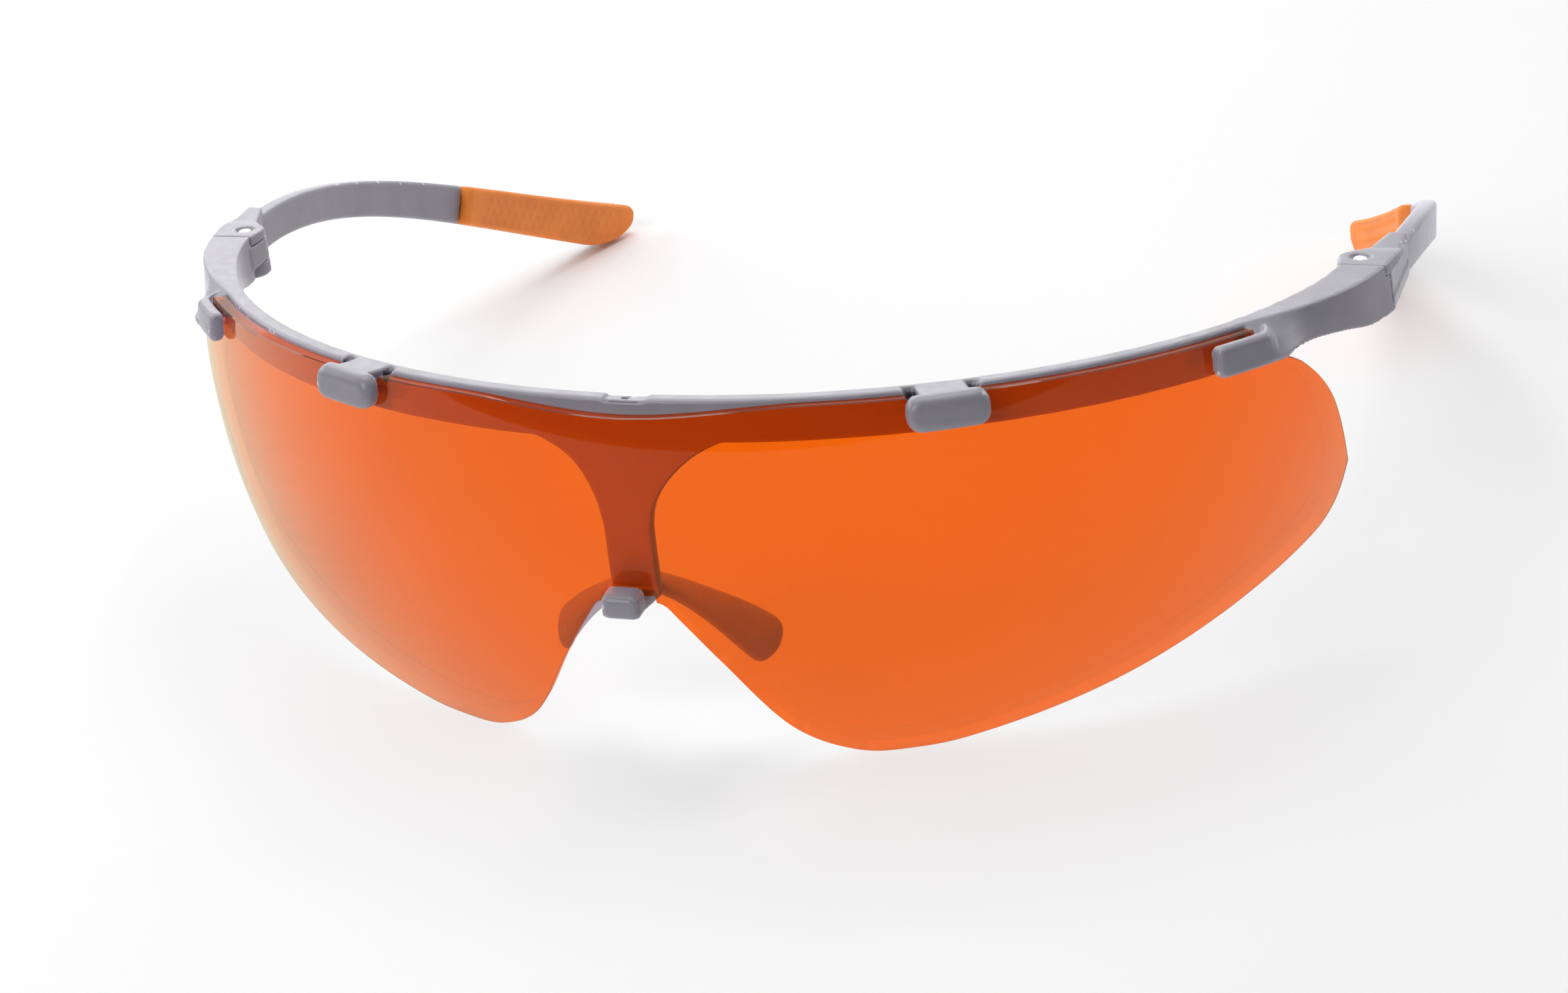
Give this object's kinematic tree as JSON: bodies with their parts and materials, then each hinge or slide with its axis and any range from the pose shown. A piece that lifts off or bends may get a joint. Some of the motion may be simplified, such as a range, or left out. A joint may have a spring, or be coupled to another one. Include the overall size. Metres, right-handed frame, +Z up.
{
  "type": "safety glasses",
  "caption": "Wrap-around safety glasses: a tinted one-piece lens clipped under a slim brow frame, a soft nose saddle and folding temples with soft tips.",
  "frame": {"origin": "middle of the base, on the table the glasses stand on with the temples open", "axes": "+Z up, the lens faces -Y and the temples run back along +Y, +X is the wearer's left"},
  "size_m": [0.1426, 0.1592, 0.0419],
  "materials": {
    "frame_plastic": "satin moulded grey",
    "lens_tinted": "clear polished orange polycarbonate",
    "saddle_rubber": "soft matte grey",
    "tip_rubber": "soft matte orange",
    "pin_steel": "bright"
  },
  "bodies": {
    "frame": {"brow_frame": "frame_plastic", "lens": "lens_tinted", "nose_saddle": "saddle_rubber", "hinge_pin_left": "pin_steel", "hinge_pin_right": "pin_steel"},
    "temple_left": {"temple_arm_left": "frame_plastic", "ear_tip_left": "tip_rubber"},
    "temple_right": {"temple_arm_right": "frame_plastic", "ear_tip_right": "tip_rubber"}
  },
  "joints": [
    {"name": "left_hinge", "type": "hinge", "parent": "frame", "child": "temple_left", "pos_m": [0.066, -0.0232, 0.0361], "axis": [0, 0, 1], "range_deg": [0, 95]},
    {"name": "right_hinge", "type": "hinge", "parent": "frame", "child": "temple_right", "pos_m": [-0.066, -0.0232, 0.0361], "axis": [0, 0, -1], "range_deg": [0, 85]}
  ]
}
